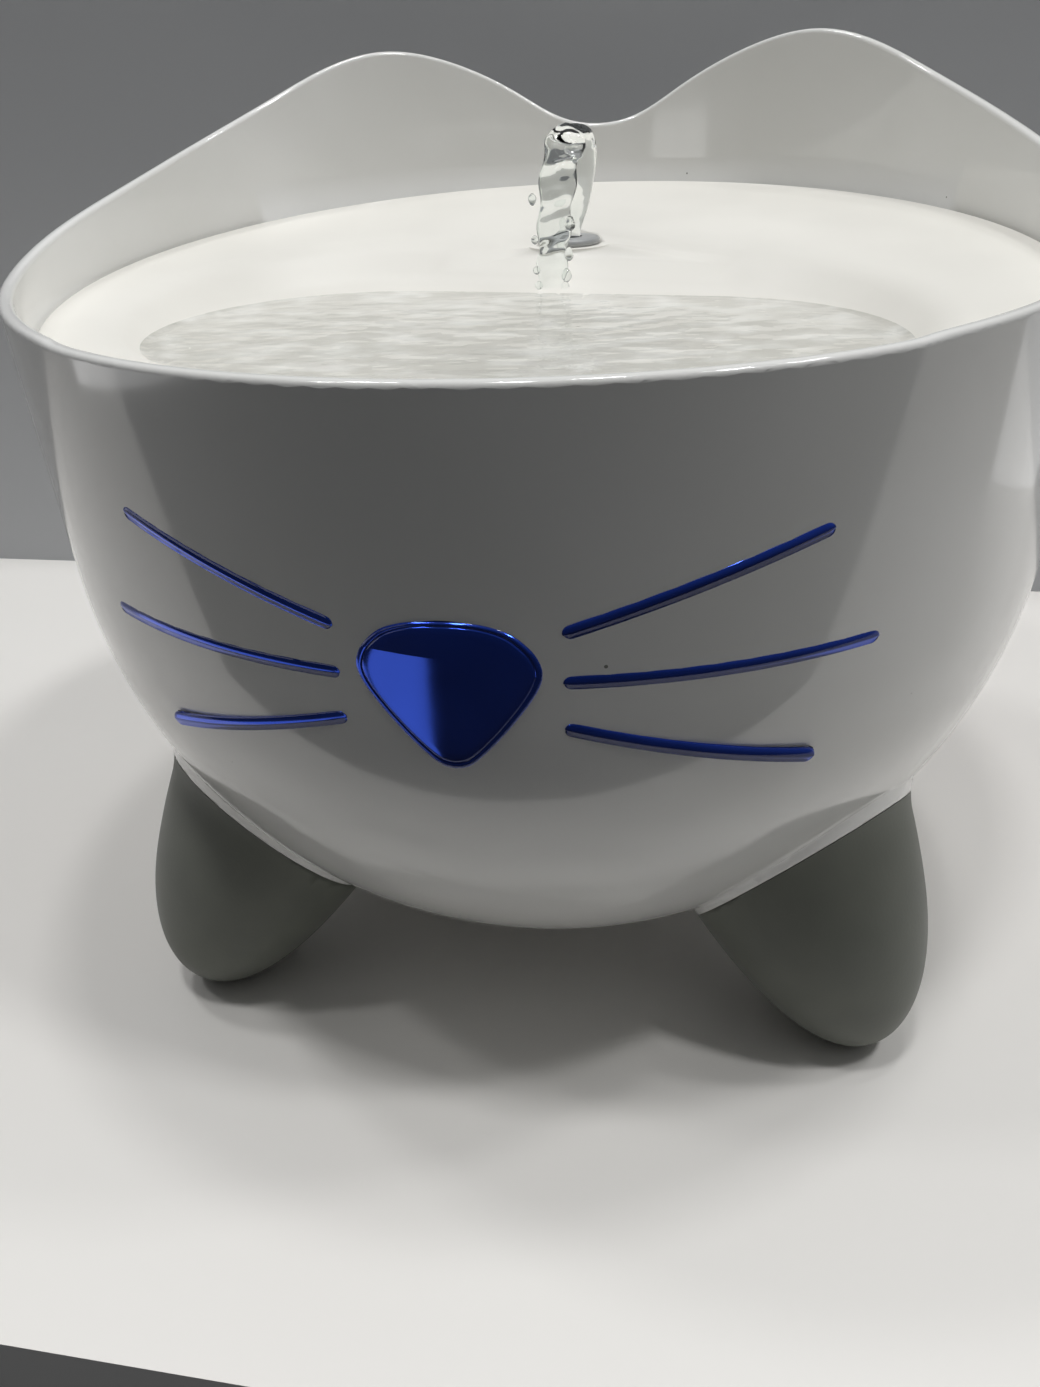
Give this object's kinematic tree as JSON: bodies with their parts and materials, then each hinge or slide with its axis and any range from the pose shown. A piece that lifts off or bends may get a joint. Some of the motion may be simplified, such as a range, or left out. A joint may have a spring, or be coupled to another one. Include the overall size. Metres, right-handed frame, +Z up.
{
  "type": "pet water fountain",
  "caption": "Round pet water fountain on soft feet with ear-shaped back rim, clear blue nose and whisker window, drinking dish, filter and small pump with impeller.",
  "frame": {"origin": "on the table under the reservoir's axis", "axes": "+Z up, -Y towards the face, +X to the viewer's right when facing the nose"},
  "size_m": [0.2304, 0.2306, 0.2049],
  "materials": {
    "reservoir": "gloss white",
    "window": "clear deep blue",
    "soft_seal": "soft translucent white silicone",
    "clamp": "matte white",
    "steel": "stainless",
    "foot": "matte warm grey silicone",
    "grey_rubber": "dark grey rubber",
    "dish": "satin warm white",
    "nozzle": "satin light grey",
    "filter_shell": "matte white",
    "pad": "white fibre",
    "carbon": "loose black granules",
    "resin": "loose amber beads",
    "pump": "satin black",
    "knob": "satin grey",
    "laminated_steel": "stacked laminations",
    "copper": "enamelled copper wire",
    "board": "green circuit board",
    "lens": "clear",
    "ceramic": "polished ceramic",
    "magnet": "plated ferrite",
    "impeller": "satin white",
    "riser": "satin translucent white",
    "foam": "open-cell black foam"
  },
  "bodies": {
    "reservoir_body": {"reservoir": "reservoir", "face_window": "window", "window_gasket": "soft_seal", "window_clamp": "clamp", "window_screws": "steel", "foot_front_left": "foot", "foot_front_right": "foot", "foot_rear_left": "foot", "foot_rear_right": "foot", "cable_grommet": "grey_rubber"},
    "pump_body": {"pump_housing": "pump", "back_cover": "pump", "pump_gland": "grey_rubber", "stator_core": "laminated_steel", "stator_coils": "copper", "drive_board": "board", "light_lens": "lens", "rotor_shaft": "ceramic", "shaft_bushes": "grey_rubber", "impeller_cover": "pump", "cover_screws": "steel", "suction_cups": "grey_rubber", "riser_tube": "riser", "riser_seal": "soft_seal"},
    "dish_body": {"drinking_dish": "dish"},
    "nozzle_body": {"spout_nozzle": "nozzle"},
    "filter_body": {"filter_case": "filter_shell", "filter_lid": "filter_shell", "filter_pad": "pad", "carbon_bed": "carbon", "resin_bed": "resin"},
    "intake_body": {"intake_cover": "pump", "foam_filter": "foam"},
    "valve_body": {"flow_valve": "knob"},
    "rotor_body": {"impeller": "impeller", "rotor_magnet": "magnet"}
  },
  "joints": [
    {"name": "pump_lift", "type": "slide", "parent": "reservoir_body", "child": "pump_body", "axis": [0, 0, 1], "range_m": [0, 0.19]},
    {"name": "dish_lift", "type": "slide", "parent": "pump_body", "child": "dish_body", "axis": [0, 0, 1], "range_m": [0, 0.1]},
    {"name": "nozzle_pull", "type": "slide", "parent": "dish_body", "child": "nozzle_body", "axis": [0, 0, 1], "range_m": [0, 0.02]},
    {"name": "filter_release", "type": "slide", "parent": "dish_body", "child": "filter_body", "axis": [0, 0, -1], "range_m": [0, 0.03]},
    {"name": "intake_cover_slide", "type": "slide", "parent": "pump_body", "child": "intake_body", "axis": [-1, 0, 0], "range_m": [0, 0.02]},
    {"name": "flow_valve_turn", "type": "hinge", "parent": "pump_body", "child": "valve_body", "pos_m": [0, 0.03, 0.0728], "axis": [0, -1, 0], "range_deg": [0, 90]},
    {"name": "impeller_spin", "type": "hinge", "parent": "pump_body", "child": "rotor_body", "pos_m": [0, 0.04, 0.0478], "axis": [1, 0, 0], "continuous": true}
  ]
}
